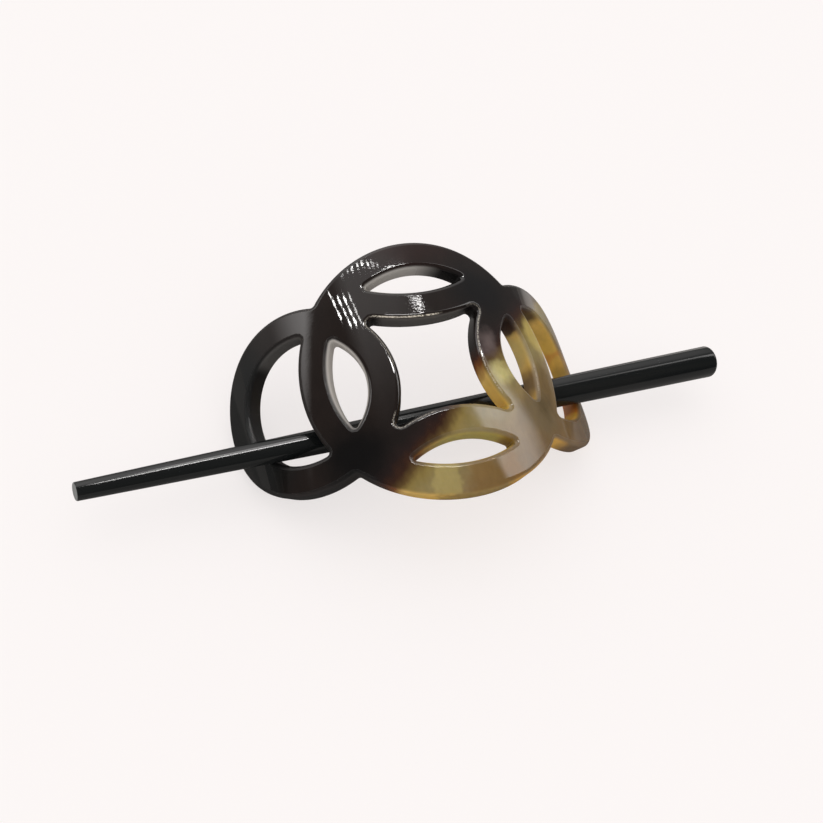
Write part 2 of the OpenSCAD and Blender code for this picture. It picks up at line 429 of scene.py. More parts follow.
# %% Saw the thin end askew
TIP_SKEW = math.radians(10)
skew_side = Vector((-0.82, -0.57, 0)).normalized()  # this side of the rim is cut back the furthest
tip_rim = [v for v in bmesh.from_edit_mesh(stick.data).verts if v.co.z < THIN_RIM * 1.1]
for point in tip_rim:
    point.co.z += math.tan(TIP_SKEW) * (point.co.dot(skew_side) + THIN_R - THIN_RIM)
bmesh.update_edit_mesh(stick.data)
bpy.ops.transform.translate(value=(0, 0, -STICK_LEN / 2))
bpy.ops.object.mode_set(mode="OBJECT")
print("points sawn askew:", len(tip_rim), "by", round(math.degrees(TIP_SKEW)), "degrees")

# %% [markdown]
# ## Pushing the stick in
#
# It passes over the outer side of each end ring and under the centre ring. Its direction is that of the
# slide joint in the record, so it moves along itself when it is drawn out.

# %% Tip the stick into its place
STICK_MIDDLE = Vector((0, -3.26, 11.004)) * MM  # half way along the axis, in the frame
draw = next(j for j in frame["joints"] if j["name"] == "stick_slide")
axis = Vector(draw["axis"]).normalized()
level = Vector((0, 0, 1)).cross(axis).normalized()
# The side of the stick that looked along X turns down, and the one that looked along Y turns to the back
tilt = Matrix((level.cross(axis), level, axis)).transposed().to_4x4()
stick.data.transform(Matrix.Translation(STICK_MIDDLE) @ tilt @ Matrix.Scale(MM, 4))
onto_solid(stick, "stick")
make_active(stick)
bpy.ops.object.shade_smooth_by_angle(angle=SHARP_BEND)
print("stick of", round(volume(stick), 2), "cubic centimetres")

# %% [markdown]
# ## A board of nodes
#
# A finish is a tree of nodes. By hand they are dragged onto a board and wired, and in code that takes
# three lines a node, so a few helpers shorten the wiring and the sums.

# %% A board of nodes
def srgb(r, g, b):
    """A colour given as 0 to 255 display values, made linear."""
    linear = [v / 12.92 if v <= 0.04 else ((v + 0.055) / 1.055) ** 2.4 for v in (r / 255, g / 255, b / 255)]
    return (*linear, 1.0)


class Board:
    """A node tree, with short ways to add and wire nodes."""

    def __init__(self, tree):
        self.tree = tree

    def add(self, kind, inputs=None, **settings):
        node = self.tree.nodes.new(kind)
        for key, value in settings.items():
            setattr(node, key, value)
        for key, value in (inputs or {}).items():
            self.feed(node.inputs[key], value)
        return node

    def feed(self, socket, value):
        """Wires a socket to another node's output, or sets it to a number or a colour."""
        if isinstance(value, bpy.types.NodeSocket):
            self.tree.links.new(value, socket)
        else:
            socket.default_value = value

    def math(self, operation, a, b=0.0, c=0.0):
        return self.add("ShaderNodeMath", {0: a, 1: b, 2: c}, operation=operation).outputs[0]

    def chain(self, operation, first, *others):
        """One operation over several values, from left to right."""
        for value in others:
            first = self.math(operation, first, value)
        return first

    def times(self, *values):
        return self.chain("MULTIPLY", *values)

    def most(self, *values):
        return self.chain("MAXIMUM", *values)

    def vector(self, operation, a, b=(0, 0, 0)):
        """A sum or product of vectors, or the number that is their dot product or length."""
        node = self.add("ShaderNodeVectorMath", {0: a, 1: b}, operation=operation)
        return node.outputs["Value" if operation in ("DOT_PRODUCT", "LENGTH") else "Vector"]


print("a display value of 128 is", round(srgb(128, 128, 128)[0], 3), "as light")

# %% [markdown]
# ## Slopes, noise and patches
#
# Every pattern of the horn comes from a few simple things: a smooth slope between two levels, noise that
# is drawn out along the grain, a ramp of colours, and a round patch with a soft edge, which is what the
# clouds, the scuffs and the dull places are. An image would be quicker to paint, but it has a fixed
# fineness, and the patterns stay sharp at any size.

# %% Patterns
class PatternBoard(Board):
    """A board with ways to make patterns."""

    def between(self, value, low, high, at_low=0.0, at_high=1.0):
        """One number below low and another above high, with a smooth slope between them."""
        limits = {"Value": value, "From Min": low, "From Max": high, "To Min": at_low, "To Max": at_high}
        return self.add("ShaderNodeMapRange", limits, interpolation_type="SMOOTHSTEP").outputs["Result"]

    def band(self, value, start, full, fade, end):
        """1 from full to fade, with a smooth slope down to 0 at start and at end."""
        return self.times(self.between(value, start, full), self.between(value, end, fade))

    def noise(self, place, scale, detail=2.0, roughness=0.5, stretch=(1, 1, 1), degrees=0):
        """Noise around 0.5 on a stretched place, which is turned about Z."""
        mapped = self.add("ShaderNodeMapping", {"Vector": place, "Scale": stretch,
                                                "Rotation": (0, 0, math.radians(degrees))})
        return self.add("ShaderNodeTexNoise", {"Vector": mapped.outputs[0], "Scale": scale, "Detail": detail,
                                               "Roughness": roughness}).outputs["Fac"]

    def ramp(self, value, stops):
        """Colour by a value, through stops of value and colour."""
        low, high = stops[0][0], stops[-1][0]
        share = self.add("ShaderNodeMapRange", {"Value": value, "From Min": low, "From Max": high})
        node = self.add("ShaderNodeValToRGB", {"Fac": share.outputs["Result"]})
        elements = node.color_ramp.elements
        elements[0].color, elements[1].color = stops[0][1], stops[-1][1]
        for at, colour in stops[1:-1]:
            elements.new((at - low) / (high - low)).color = colour
        return node.outputs["Color"]

    def mix(self, factor, a, b, blend="MIX"):
        """Mixes two colours."""
        node = self.add("ShaderNodeMix", data_type="RGBA", blend_type=blend)
        for name, value in (("Factor", factor), ("A", a), ("B", b)):
            self.feed(node.inputs[name], value)
        return node.outputs["Result"]

    def patch(self, place, at, size, soft=1.0):
        """A round patch: 1 in the middle and 0 outside, with half sizes along and across."""
        offset = self.vector("SUBTRACT", place, (*at, 0))
        scaled = self.vector("MULTIPLY", offset, (1 / size[0], 1 / size[1], 0))
        return self.between(self.vector("LENGTH", scaled), 1.0, 1.0 - soft)


print("ways to make patterns:", [name for name in vars(PatternBoard) if not name.startswith("_")])

# %% [markdown]
# ## A new finish
#
# A new material comes with the Principled shader, which can be anything from metal to milk. A number or
# colour that is the same all over the piece is set on the shader's own socket, and only what varies over
# the surface is wired to it.

# %% Start the plate's finish
class Finish(PatternBoard):
    """The board of a new material, with its shader at hand."""

    def __init__(self, name):
        self.material = bpy.data.materials.new(name)
        self.material.use_nodes = True
        super().__init__(self.material.node_tree)
        self.shader = self.tree.nodes["Principled BSDF"]

    def give(self, name, value):
        """Wires or sets one of the shader's own sockets."""
        self.feed(self.shader.inputs[name], value)


horn = Finish("clouded_horn")
print("a new finish has the nodes:", [node.name for node in horn.tree.nodes])

# %% [markdown]
# ## Where each point of the horn lies
#
# Buffalo horn runs from near black to a translucent honey colour, with a fox-brown seam where the two
# meet. On this plate the seam crosses from the lower left to the upper right. The material measures how
# far each point of the flat pattern lies from that seam, and lets noise wander and fray it.
#
# The places are those of the flat pattern, in millimetres along, across and through the plate. Object
# coordinates would cut straight through the arch, and stretch the clouds at its ends.

# %% Places on the flat pattern
SEAM_DEGREES = 48.66  # turns the pattern so that X points from the dark side to the light side
SEAM_SHIFT = -7.88
WANDER_MM, FRAY_MM = 4.0, 1.8
DRIFT_MM = 5.0  # the edges of the clouds drift by up to half of this
place = horn.add("ShaderNodeAttribute", attribute_name="flat_mm").outputs["Vector"]
parts = horn.add("ShaderNodeSeparateXYZ", {0: place})
along, height = parts.outputs["X"], parts.outputs["Z"]
drift = horn.add("ShaderNodeTexNoise", {"Vector": place, "Scale": 0.22, "Detail": 3.0}).outputs["Color"]
drift = horn.vector("SUBTRACT", drift, (0.5, 0.5, 0.5))
clouded = horn.vector("ADD", place, horn.vector("MULTIPLY", drift, (DRIFT_MM, DRIFT_MM, 0.0)))
turned = horn.add("ShaderNodeMapping", {"Vector": place, "Rotation": (0, 0, math.radians(SEAM_DEGREES)),
                                        "Location": (SEAM_SHIFT, 0, 0)})
from_seam = horn.add("ShaderNodeSeparateXYZ", {0: turned.outputs[0]}).outputs["X"]
wander = horn.noise(place, scale=0.16)
fray = horn.noise(place, scale=0.6, stretch=(1, 0.5, 1), degrees=20)
from_seam = horn.math("ADD", from_seam, horn.times(horn.math("SUBTRACT", wander, 0.5), WANDER_MM))
from_seam = horn.math("ADD", from_seam, horn.times(horn.math("SUBTRACT", fray, 0.5), FRAY_MM))
print("the seam wanders by", WANDER_MM / 2, "mm and frays by", FRAY_MM / 2, "mm to either side")

# %% [markdown]
# ## The colour of the polished faces
#
# A ramp gives the base colour by the distance from the seam, and round clouds are laid over it where
# this piece of horn has its straw, tan, grey and black patches. Two clouds on the right end ring's crown
# are painted light instead: a grey painted sheen and a darker painted shade beside it. A photograph could
# be wrapped round the plate instead, but it would bring its own light and shadows along.

# %% The clouds of the faces
def cloud_over(colour, clouds):
    """Lays round clouds over a colour, one after another."""
    for at, size, soft, strength, tone in clouds:
        cloud = horn.times(horn.patch(clouded, at, size, soft), strength)
        colour = horn.mix(cloud, colour, srgb(*tone))
    return colour


# Middle along and across, half sizes, softness from 0 to 1, strength, colour
FACE_CLOUDS = [
    ((-42, 0), (14, 26), 0.6, 0.9, (22, 25, 25)),  # cool grey end ring
    ((-22, -16), (10, 10), 0.8, 0.95, (12, 11, 11)),  # black lower left crossing
    ((14, 17), (10, 9), 0.8, 0.9, (18, 18, 20)),  # black upper right crossing
    ((1, 28), (13, 7), 0.7, 0.8, (46, 29, 26)),  # reddish crown
    ((12.2, 3.2), (3.6, 4.8), 0.9, 0.8, (116, 102, 99)),  # purple grey before the seam
    ((13.4, -3.8), (3.4, 3.8), 0.8, 0.95, (212, 200, 136)),  # straw
    ((28, 6.5), (5, 6.5), 0.6, 0.85, (204, 182, 104)),  # straw on the centre ring
    ((25.5, -6), (5.5, 6), 0.7, 0.8, (124, 102, 66)),  # brown under it
    ((20, -14), (8, 7), 0.7, 0.75, (122, 107, 80)),  # the grey tan crossing
    ((-5.8, -26), (3.4, 7), 0.35, 0.85, (182, 165, 106)),  # straw in the lower ring
    ((2.4, -27.5), (5.6, 6), 0.5, 0.75, (138, 108, 62)),  # golden brown
    ((7, -12.5), (5.4, 3.6), 0.7, 0.65, (162, 150, 120)),  # pale tan
    ((37, -17), (10, 7), 0.6, 0.8, (110, 88, 62)),  # brown end of the lower limb
    ((46, 3), (3.6, 12), 0.5, 0.9, (186, 142, 70)),  # golden outer limb
    ((8.7, -26), (3.8, 4.5), 0.7, 0.8, (144, 108, 60)),  # warm tan in the lower ring
    ((22.4, -11.7), (4.5, 4.5), 0.8, 0.7, (98, 82, 54)),  # olive brown on the crossing
    # The next two clouds are painted light: a grey painted sheen on the end ring's crown, and painted shade
    # on its dark side
    ((30, 17), (4, 5), 0.6, 0.6, (78, 73, 66)),  # grey on the end ring's crown
    ((27, 19), (3.4, 4), 0.5, 0.85, (46, 42, 40)),  # the dark side of that crown
]
face_colour = cloud_over(horn.ramp(from_seam, [
    (-12, srgb(36, 29, 26)), (-4.5, srgb(34, 28, 26)), (-2.2, srgb(43, 31, 29)), (-0.6, srgb(60, 37, 26)),
    (1.0, srgb(100, 78, 44)), (2.8, srgb(150, 130, 74)), (6.0, srgb(158, 142, 95)),
    (13, srgb(142, 119, 83)), (20, srgb(132, 108, 76))]), FACE_CLOUDS)
print("clouds on the faces:", len(FACE_CLOUDS))

# %% [markdown]
# ## The colour of the walls
#
# The polished faces look milkier than the walls of the openings, where light comes through the horn and
# turns it amber. So the walls have a ramp and clouds of their own, and the height through the plate says
# which of the two a point takes. A haze of streaks along the grain then lightens and darkens both.

# %% The clouds of the walls, and the whole colour
WALL_BELOW, FACE_ABOVE = 1.1, 1.92  # height above the middle of the thickness, in mm
HAZE, DARKEST = 0.4, 0.54
WALL_CLOUDS = [
    ((1, -19), (11, 5), 0.5, 0.9, (176, 164, 88)),  # straw in the lower lens
    ((11, -19), (3.5, 4), 0.6, 0.7, (112, 80, 34)),  # its brown corner
    ((2, -31), (30, 3.6), 0.4, 0.9, (142, 118, 62)),  # straw under the centre ring
    ((24.5, 4), (4, 8), 0.6, 0.8, (208, 184, 110)),  # straw right of the side lens
    ((23, -6.5), (5, 6.5), 0.8, 0.9, (106, 80, 42)),  # and brown under it
    ((21, 9.8), (3.4, 3.4), 0.5, 0.9, (50, 34, 24)),  # nearly black over it
    ((31, 13.5), (4, 3.4), 0.6, 0.85, (44, 29, 22)),  # dark start of the end ring's inside
    ((43, 2), (3.4, 2.6), 0.8, 0.5, (142, 120, 44)),  # olive streak
    ((43.5, 6), (3, 1.2), 0.8, 0.5, (206, 128, 48)),  # orange streak
    ((41, -7), (5, 7), 0.6, 0.8, (196, 108, 44)),  # orange glow beyond the stick
    ((37, -21), (14, 6.5), 0.4, 0.95, (100, 78, 52)),  # brown outside of the end ring
]
wall_colour = cloud_over(horn.ramp(from_seam, [
    (-12, srgb(22, 21, 21)), (-3.6, srgb(30, 23, 20)), (-1.6, srgb(72, 34, 16)), (0.2, srgb(128, 74, 26)),
    (2.4, srgb(222, 184, 100)), (7.0, srgb(220, 180, 88)), (13, srgb(222, 180, 78)),
    (20, srgb(216, 166, 66))]), WALL_CLOUDS)
colour = horn.mix(horn.between(height, WALL_BELOW, FACE_ABOVE), wall_colour, face_colour)
haze = horn.noise(place, scale=0.5, detail=4.0, roughness=0.6, stretch=(1, 0.45, 1), degrees=12)
shade = horn.math("MULTIPLY_ADD", haze, HAZE, DARKEST)
grey = horn.add("ShaderNodeCombineColor", {0: shade, 1: shade, 2: shade}).outputs[0]
colour = horn.mix(1.0, colour, grey, blend="MULTIPLY")
print("clouds on the walls:", len(WALL_CLOUDS))

# %% [markdown]
# ## Sawn walls with a painted sheen, and worn edges with a painted highlight
#
# The polishing wheel doesn't reach deep into the narrow openings, so the backs of their dark walls keep
# the pale grey of sawn horn, which here also stands for the pale sheen that they mirror: a painted
# reflection. The front edges of the centre opening and of the light side are a little scuffed, which shows
# as a fine broken pale line; that line is also a painted highlight, where the rounded edge catches the
# light. Both are patches on the flat pattern, kept to a range of heights. The shader's own pointiness
# would find every edge alike, also those that aren't worn.

# %% Sawn walls with a painted sheen, worn edges with a painted highlight
def strongest(places, soft):
    """The strongest of several round patches: middle along and across, half sizes, strength."""
    patches = [horn.times(horn.patch(place, at, size, soft), strength) for at, size, strength in places]
    return horn.most(*patches)


# Walls painted the pale grey of sawn horn, which is also a painted sheen there
SAWN_SHEEN_PLACES = [
    ((-6, 20.5), (14, 4.5), 0.72),  # top lens
    ((-19.5, 2), (5.5, 15), 0.9),  # left lens
    ((-30, 12), (9, 6), 0.12),  # top of the left crescent
    ((-1, 11), (12, 3), 0.12),  # top of the centre opening
]
# Edges with a pale scuff line, which is also a painted highlight
SCUFF_AND_HIGHLIGHT_PLACES = [
    ((-5, 11.5), (9, 3), 0.9),  # top of the centre opening
    ((11.5, 2), (4, 12.5), 0.5),  # right of it
    ((-10.5, 6), (3.5, 7), 0.3),  # left of it
    ((-9, -12), (6, 3.5), 0.4),  # its lower left corner
    ((30, 4), (6, 16), 0.12),  # light side
    ((23, -5), (2.4, 4.5), 0.2),  # light side, along the lens
]
PATCH_SOFT = 0.3
# The sawn grey doubles as a painted sheen, and the pale scuff colour as a painted highlight
SAWN_SHEEN_GREY, SCUFF_HIGHLIGHT_PALE = srgb(184, 180, 174), srgb(222, 214, 198)
SAWN_HEIGHTS = (1.9, 1.5)  # heights above the middle over which the sawn grey begins, in mm
EDGE_HEIGHTS = (1.72, 1.82, 1.9, 1.96)  # where the scuffed line begins, is full, fades and ends, in mm
CHIP_LEVELS = (0.4, 0.54)  # levels of the noise over which a chip begins
# Painted sheen: the sawn grey on the backs of the narrow walls
sawn_and_sheen = horn.times(strongest(SAWN_SHEEN_PLACES, PATCH_SOFT), horn.between(height, *SAWN_HEIGHTS))
colour = horn.mix(sawn_and_sheen, colour, SAWN_SHEEN_GREY)
on_edge = horn.band(height, *EDGE_HEIGHTS)
chips = horn.between(horn.noise(place, scale=4.5, detail=1.0), *CHIP_LEVELS)
# Painted highlight: the broken pale scuff line along the front edges, also real scuffing
scuffed_and_highlit = horn.times(on_edge, strongest(SCUFF_AND_HIGHLIGHT_PLACES, PATCH_SOFT), chips)
horn.give("Base Color", horn.mix(scuffed_and_highlit, colour, SCUFF_HIGHLIGHT_PALE))
print("sawn places:", len(SAWN_SHEEN_PLACES), "scuffed places:", len(SCUFF_AND_HIGHLIGHT_PLACES))

# %% [markdown]
# ## Gloss and depth
#
# Polished horn is as smooth as glass where the wheel ran, with faint smudges. The edges of the end rings
# and of the lower limb, and the walls, are duller. The light part glows a little from within, and red
# light travels furthest in it, which is what subsurface scattering is for. Real transmission would cost
# far more time and look no different at this thickness.

# %% Gloss and depth
BEST_POLISH, SMUDGE = 0.014, 0.015  # roughness of the best polish, and what a smudge adds
DULLNESS, WALL_DULL, LIMB_DULL = 0.4, 0.6, 0.8  # what dull horn adds, and the shares on walls and limb
GLOW, GLOW_FROM_SEAM = 0.3, (0.0, 5.0)  # how much the light part glows, and over which distances it begins
RIGHT_RING, LEFT_RING = (15, 19), (-17, -20)  # where the end rings begin, along the plate
EDGE_BELOW, WALL_FADE = (1.997, 1.98), (1.8, 1.2)  # heights over which the edges and the walls begin
horn.give("Subsurface Weight", horn.times(horn.between(from_seam, *GLOW_FROM_SEAM), GLOW))
horn.give("Subsurface Radius", (1.0, 0.55, 0.2))
horn.give("Subsurface Scale", 1.2 * MM)
horn.give("IOR", 1.54)
polish = horn.math("MULTIPLY_ADD", horn.noise(place, scale=0.4, detail=3.0), SMUDGE, BEST_POLISH)
end_rings = horn.most(horn.between(along, *RIGHT_RING), horn.between(along, *LEFT_RING))
lower_limb = horn.times(horn.patch(place, (-1, -20), (16, 6), 0.4), LIMB_DULL)
dull_edges = horn.times(horn.between(height, *EDGE_BELOW), horn.most(end_rings, lower_limb))
dull_walls = horn.times(horn.between(height, *WALL_FADE), WALL_DULL)
horn.give("Roughness", horn.math("MULTIPLY_ADD", horn.most(sawn_and_sheen, dull_edges, dull_walls), DULLNESS, polish))
print("roughness from", BEST_POLISH, "to", round(BEST_POLISH + SMUDGE + DULLNESS, 3))

# %% [markdown]
# ## Traces of the file and the wheel
#
# The face isn't quite flat: long shallow waves cross it everywhere, with a finer ripple, and three
# places are crinkled. They are hundredths of a millimetre deep, and show only because they bend the
# mirror images, so a bump does. As real geometry they would take millions of faces.

# %% Relief
WAVES, RIPPLE, GRAIN, CRINKLE = 0.2, 0.07, 0.035, 0.24  # shares of the relief's depth
RELIEF_DEPTH = 0.03 * MM
CRINKLED = [
    ((-9.5, 24.8), (6, 2.6), 0.06),  # crown
    ((-1.5, 14), (3.4, 4.0), 1.0),  # top inner arc
    ((-5, -11.5), (6.5, 2.0), 1.0),  # bottom inner arc
]
waves = horn.noise(place, scale=0.35, detail=0.0, stretch=(1, 0.5, 1), degrees=25)
ripple = horn.noise(place, scale=1.1, detail=1.0, stretch=(1, 0.35, 1), degrees=-18)
fine = horn.noise(place, scale=1.9, detail=1.0)
relief = horn.math("MULTIPLY_ADD", waves, WAVES, horn.times(ripple, RIPPLE))
fine_depth = horn.math("MULTIPLY_ADD", strongest(CRINKLED, 0.6), CRINKLE, GRAIN)
relief = horn.math("MULTIPLY_ADD", fine, fine_depth, relief)
bump = horn.add("ShaderNodeBump", {"Height": relief, "Strength": 1.0, "Distance": RELIEF_DEPTH})
horn.give("Normal", bump.outputs[0])
plate.data.materials.append(horn.material)
print("the plate's finish has", len(horn.tree.nodes), "nodes")

# %% [markdown]
# ## The stick's horn
#
# The stick is of plain black horn, polished less than the plate. Streaks run along it, the lathe left
# faint rings, and the sawn end is dull and paler. The stick is straight, so Object coordinates serve:
# the noise is drawn out along X. The sawn end is found by its depth behind the end face, since a second
# material would make a hard line round the rim.

# %% Black horn
END_PALE = srgb(128, 130, 129)
END_FADE = (0.2 * MM, 0.05 * MM)  # depths between which the pale end begins
STICK_POLISH, STICK_CLOUDY = 0.07, 0.12
LATHE_DEPTH = 0.006 * MM
black = Finish("black_horn")
spot = black.add("ShaderNodeTexCoord").outputs["Object"]
streaks = black.noise(spot, scale=900.0, detail=3.0, stretch=(0.04, 1, 1))
clouds = black.noise(spot, scale=60.0, stretch=(0.3, 1, 1))
tone = black.math("MULTIPLY_ADD", clouds, 0.5, black.times(streaks, 0.5))
tone = black.ramp(tone, [(0.3, srgb(15, 17, 18)), (0.5, srgb(20, 22, 22)), (0.7, srgb(29, 29, 28))])
tip_faces = [face for face in stick.data.polygons if face.center.dot(axis) < 0]
tip_face = max(tip_faces, key=lambda face: face.area)
inward = -tip_face.normal
tip_level = inward.dot(tip_face.center)
cut = black.between(black.vector("DOT_PRODUCT", spot, inward), *(tip_level + depth for depth in END_FADE))
black.give("Base Color", black.mix(cut, tone, END_PALE))
black.give("IOR", 1.46)
polish = black.math("MULTIPLY_ADD", clouds, STICK_CLOUDY, STICK_POLISH)
black.give("Roughness", black.math("MULTIPLY_ADD", cut, DULLNESS, polish))
lathe = black.noise(spot, scale=500.0, detail=1.0, stretch=(0.05, 1, 1))
bump = black.add("ShaderNodeBump", {"Height": lathe, "Strength": 1.0, "Distance": LATHE_DEPTH})
black.give("Normal", bump.outputs[0])
stick.data.materials.append(black.material)
print("the sawn end measures", round(tip_face.area / MM / MM, 2), "square millimetres")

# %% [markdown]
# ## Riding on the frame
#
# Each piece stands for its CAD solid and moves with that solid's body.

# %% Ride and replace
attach(plate, "plate")
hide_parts("openwork_plate")
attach(stick, "stick")
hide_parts("stick")
print("pieces:", plate.name, "and", stick.name)

# %% [markdown]
# ## Camera
#
# The camera was fitted to the outline of the real barrette: it looks down on the arch from the front
# left, close enough for the near end to look larger. Its turn and place are given in the plate's own
# frame, flat on the drawing board, and are carried with the plate as it leans.

# %% Camera
VIEW_TURNS = (-0.436324, 0.247792, 0.166027)  # turns of the plate about x, y and z as the camera sees it
VIEW_SHIFT = (5.6385, 10.0482)  # the plate's middle from the middle of the view, mm
VIEW_DISTANCE, VIEW_SCALE = 205.6286, 4.73829  # mm, and pixels to a millimetre at that distance
PHOTO_SIDE, SENSOR = 823, 36.0  # pixels, and mm
CREST = Vector((0.6, -0.0559, 25.6731))  # the middle of the plate's crest, half way through, in mm
turn = (Matrix.Rotation(VIEW_TURNS[1], 3, "Y") @ Matrix.Rotation(VIEW_TURNS[0], 3, "X")
        @ Matrix.Rotation(VIEW_TURNS[2], 3, "Z"))
lean = Matrix.Rotation(math.radians(LEAN), 3, "X")
stand = lean @ (turn.transposed() @ Vector((-VIEW_SHIFT[0], -VIEW_SHIFT[1], VIEW_DISTANCE))) + CREST
camera_data = bpy.data.cameras.new("camera")
camera = bpy.data.objects.new("camera", camera_data)
bpy.context.scene.collection.objects.link(camera)
camera.matrix_world = Matrix.Translation(stand * MM) @ (lean @ turn.transposed()).to_4x4()
camera_data.sensor_width = SENSOR
camera_data.lens = VIEW_SCALE * VIEW_DISTANCE / PHOTO_SIDE * SENSOR
camera_data.clip_start, camera_data.clip_end = 0.01, 20.0
bpy.context.scene.camera = camera
print("camera at, mm:", [round(v, 1) for v in stand], "lens", round(camera_data.lens, 2))

# %% [markdown]
# ## A light table for a floor
#
# The barrette lies on pale paper that is lit from below, so its shadows stay faint. A white floor under
# strong lamps could do that too, but they would all show in the polish. What polished horn shows is its
# mirror image of the surroundings, so the paper looks darker in mirror images, as it would without the
# light from below: darkest around the barrette, which shades it, and brightest at the back on the right.

# %% Floor
FLOOR_SIDE = 6.0
GLOW_WHITE, GLOW_STRENGTH = (1.0, 0.963, 0.955, 1.0), 0.67
PAPER_WHITE = (0.30, 0.289, 0.286, 1.0)
MIRROR_GREY, BEHIND_TIP_GREY = (0.32, 0.31, 0.30, 1.0), (0.2, 0.195, 0.19, 1.0)
MIRROR_WHITE, SHADED_GREY = (1.0, 0.98, 0.95, 1.0), (0.12, 0.115, 0.11, 1.0)
# Where each place in mirror images begins, is full, fades and ends, in metres from the middle
BRIGHT_X, BRIGHT_Y = (0.06, 0.12, 0.12, 0.45), (0.02, 0.05)
TIP_X, TIP_Y = (-0.088, -0.074, -0.03, -0.01), (0.0, 0.01)
SHADED_SIZE = (0.06, 0.05)
bpy.ops.object.select_all(action="DESELECT")
bpy.ops.mesh.primitive_plane_add(size=FLOOR_SIDE, location=(0, 0, 0))
floor = bpy.context.object
floor.name = "floor"
paper = Finish("pale_paper")
mirrored = paper.add("ShaderNodeLightPath").outputs["Is Glossy Ray"]
floor_spot = paper.add("ShaderNodeTexCoord").outputs["Object"]
floor_parts = paper.add("ShaderNodeSeparateXYZ", {0: floor_spot})
floor_x, floor_y = floor_parts.outputs["X"], floor_parts.outputs["Y"]
bright = paper.times(paper.band(floor_x, *BRIGHT_X), paper.between(floor_y, *BRIGHT_Y))
behind_tip = paper.times(paper.band(floor_x, *TIP_X), paper.between(floor_y, *TIP_Y))
shaded = paper.patch(floor_spot, (0, 0), SHADED_SIZE, 0.5)
in_mirror = paper.mix(behind_tip, MIRROR_GREY, BEHIND_TIP_GREY)
in_mirror = paper.mix(bright, in_mirror, MIRROR_WHITE)
in_mirror = paper.mix(shaded, in_mirror, SHADED_GREY)
paper.give("Base Color", paper.mix(mirrored, PAPER_WHITE, in_mirror))
paper.give("Roughness", 0.8)
paper.give("Specular IOR Level", 0.0)
paper.give("Emission Color", GLOW_WHITE)
paper.give("Emission Strength", paper.math("MULTIPLY_ADD", mirrored, -GLOW_STRENGTH, GLOW_STRENGTH))
floor.data.materials.append(paper.material)
print("floor of", FLOOR_SIDE, "metres, glowing at", GLOW_STRENGTH)

# %% [markdown]
# ## The room
#
# An even pale light comes from all round. The mirror images see a room instead: open and dark towards
# the camera, paler at the back, with a window to the left, a panel to the right, a dim ceiling and a
# bank of bright tubes over the crown. It is painted on the world by direction: by how far a direction
# leans to the right, to the back and up, each from -1 to 1. Real walls and windows would do the same, and
# would stand in the way when the camera looks from another side.

# %% Room
DARK_WALL, PALE_WALL, CEILING = 0.1, 0.85, 0.75
WINDOW_BRIGHT, PANEL_BRIGHT, BANK_BRIGHT = 2.8, 3.0, 40.0
scene = bpy.context.scene
world = bpy.data.worlds.new("room")
scene.world = world
world.use_nodes = True
room = PatternBoard(world.node_tree)
for node in list(room.tree.nodes):
    room.tree.nodes.remove(node)
looking = room.add("ShaderNodeTexCoord").outputs["Generated"]
direction = room.add("ShaderNodeSeparateXYZ", {0: looking})
rightward, backward, upward = (direction.outputs[name] for name in "XYZ")


def beyond(normal, low, high):
    """0 on one side of a plane through the barrette and 1 on the other: a straight edge in the room."""
    return room.between(room.vector("DOT_PRODUCT", looking, normal), low, high)


walls = room.times(room.between(backward, 0.24, 0.5, DARK_WALL, PALE_WALL),
                   room.between(rightward, 0.35, 0.75, 1.0, 0.35),  # darker on the right
                   room.between(upward, 0.0, 0.6, 0.36, 1.0))  # and low down
window = room.times(beyond((0.072, 0.943, -0.324), 0.0, 0.035),
                    room.between(rightward, -0.46, -0.56),
                    room.between(upward, 0.38, 0.75, 0.0, WINDOW_BRIGHT))
panel = room.times(beyond((0.357, 0.861, -0.362), -0.018, 0.036),
                   room.between(backward, 0.25, 0.215),
                   room.between(upward, 0.3, 0.6, 0.0, PANEL_BRIGHT))
ceiling = room.times(room.between(backward, 0.12, 0.27, 0.0, CEILING),
                     room.between(rightward, -0.42, -0.25),
                     room.between(rightward, 0.0, 0.45, 1.0, 0.2),  # dimmer to the right
                     room.between(upward, 0.25, 0.7, 0.35, 1.0))  # and low down
bank = room.times(beyond((0.4, 1.0, 0.0), 0.160, 0.166),
                  room.band(backward, 0.164, 0.174, 0.216, 0.222),
                  room.band(rightward, -0.04, -0.03, 0.27, 0.3),
                  room.between(upward, 0.5, 0.6, 0.0, BANK_BRIGHT))
mirror_room = room.chain("ADD", walls, window, panel, ceiling, bank)
in_mirrors = room.add("ShaderNodeLightPath").outputs["Is Glossy Ray"]
seen = room.add("ShaderNodeMix", {"Factor": in_mirrors, "A": 1.0, "B": mirror_room})
glow = room.add("ShaderNodeBackground", {"Color": (1.0, 0.975, 0.965, 1.0), "Strength": seen.outputs[0]})
room.add("ShaderNodeOutputWorld", {"Surface": glow.outputs[0]})
print("the room has", len(room.tree.nodes), "nodes")

# %% [markdown]
# ## Lamps
#
# One soft lamp from the left gives the barrette its form, and is kept out of the mirror images. The rest
# are small and are there to be mirrored: rows of short tubes and beads draw the broken streaks on the
# dark side, thin strips the fine lines on the crown and the inner arc, and a broad one the long streak on
# the stick. Each of them lights only the piece that shows it, because on the other piece it would be a
# stray line. Streaks painted on the horn would stay where they are as the camera moves.

# %% Lamps
LAMP_DISTANCE = 1.5
LAMP_WHITE = (1.0, 0.98, 0.965)


def lit_alone(obj):
    """A collection of one object, for a lamp that lights only that object."""
    alone = bpy.data.collections.new("lights_for_" + obj.name)
    alone.objects.link(obj)
    return alone


def overhead(aside, back):
    """The upward direction that leans so much aside and so much back."""
    return aside, back, math.sqrt(1 - aside**2 - back**2)


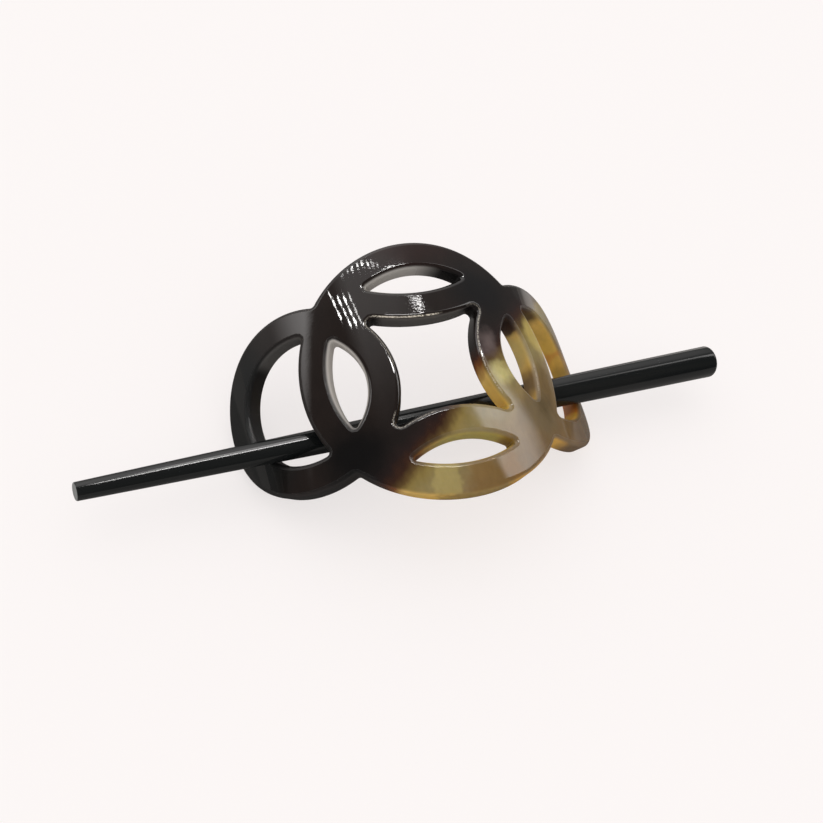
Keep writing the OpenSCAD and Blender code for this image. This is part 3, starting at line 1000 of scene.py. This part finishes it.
def softbox(name, away, edge, angles, radiance, lights=None, distance=LAMP_DISTANCE):
    """A rectangular light in a given direction, with one edge along another, sized by angles in degrees."""
    away = Vector(away).normalized()
    side = (Vector(edge) - away * away.dot(Vector(edge))).normalized()
    data = bpy.data.lights.new(name, "AREA")
    data.shape = "RECTANGLE"
    data.size, data.size_y = (2 * distance * math.tan(math.radians(angle / 2)) for angle in angles)
    data.energy = radiance * math.pi * data.size * data.size_y
    data.color = LAMP_WHITE
    lamp = bpy.data.objects.new(name, data)
    scene.collection.objects.link(lamp)
    turned_to_it = Matrix((side, away.cross(side), away)).transposed().to_4x4()
    lamp.matrix_world = Matrix.Translation(away * distance) @ turned_to_it
    lamp.visible_camera = False
    lamp.light_linking.receiver_collection = lights
    return lamp


plate_alone, stick_alone = lit_alone(plate), lit_alone(stick)
key = softbox("key", away=(-0.3, 0.2, 1.0), edge=(1, 0, 0), angles=(50, 50), radiance=0.15, distance=1.2)
key.visible_glossy = False
print("key lamp", round(key.data.size, 2), "metres wide")

# %% [markdown]
# ## Tubes, beads and strips
#
# Each lamp's place is a direction from the barrette, worked back from where its mirror image lies in the
# photograph. A step along the plate turns the mirrored direction aside, because of the arch, and a step
# across the plate turns it back a little, because the camera is near. So the rows of lamps are tiny.

# %% Tubes, beads and strips
TUBE_START, COLUMN_STEP, ROW_STEP = (-0.43, 0.301), (0.046, -0.004), (0.013, -0.0135)  # aside and back
TUBE_EDGE, BEAD_EDGE, ARC_EDGE = (0.02, -0.012, 0.012), (0.3, -0.011, 0.05), (1, 0, -0.3)
TUBE_BRIGHT, TUBE_DIM, BEAD_BRIGHT, BEAD_DIM = 40, 16, 45, 18
STRIP_BRIGHT, ARC_BRIGHT, STICK_BRIGHT = 40, 26, 4.6
BEADS = [(-0.289, 0.3035), (-0.235, 0.302), (-0.194, 0.300), (-0.14, 0.2985), (-0.095, 0.298),
         (-0.049, 0.296), (-0.01, 0.2945), (0.026, 0.292)]  # aside and back
ARC_STRIPS = [(0.272, 7.4), (0.286, 5.6), (0.294, 3.8), (0.296, 2.0)]  # aside, and width in degrees
ARC_BACK, ARC_STEP = 0.2585, -0.004
for column in range(4):
    for row in range(3) if column == 0 else range(1, 4):
        aside, back = (start + column * column_step + row * row_step for start, column_step, row_step
                       in zip(TUBE_START, COLUMN_STEP, ROW_STEP))
        softbox("tube_%d_%d" % (column, row), away=overhead(aside, back), edge=TUBE_EDGE, angles=(1.0, 0.35),
                radiance=TUBE_BRIGHT if column < 3 else TUBE_DIM, lights=plate_alone)
for bead, (aside, back) in enumerate(BEADS):
    softbox("bead_%d" % bead, away=overhead(aside, back), edge=BEAD_EDGE,
            angles=(1.0 if bead % 2 else 1.5, 0.14),
            radiance=BEAD_BRIGHT if 1 < bead < 6 else BEAD_DIM, lights=plate_alone)
softbox("strip_crown", away=(0.157, 0.286, 0.943), edge=(0.228, 0.011, -0.041), angles=(13, 0.3),
        radiance=STRIP_BRIGHT, lights=plate_alone)
for row, (aside, width) in enumerate(ARC_STRIPS):
    softbox("strip_arc_%d" % row, away=overhead(aside, ARC_BACK + ARC_STEP * row), edge=ARC_EDGE,
            angles=(width, 0.2), radiance=ARC_BRIGHT, lights=plate_alone)
softbox("stick_lamp", away=(0.13, 0.36, 0.92), edge=(1, 0, 0), angles=(17, 26),
        radiance=STICK_BRIGHT, lights=stick_alone)
scene.view_settings.view_transform = "Standard"

# %% [markdown]
# The dressed part must stay inside the CAD model's box.
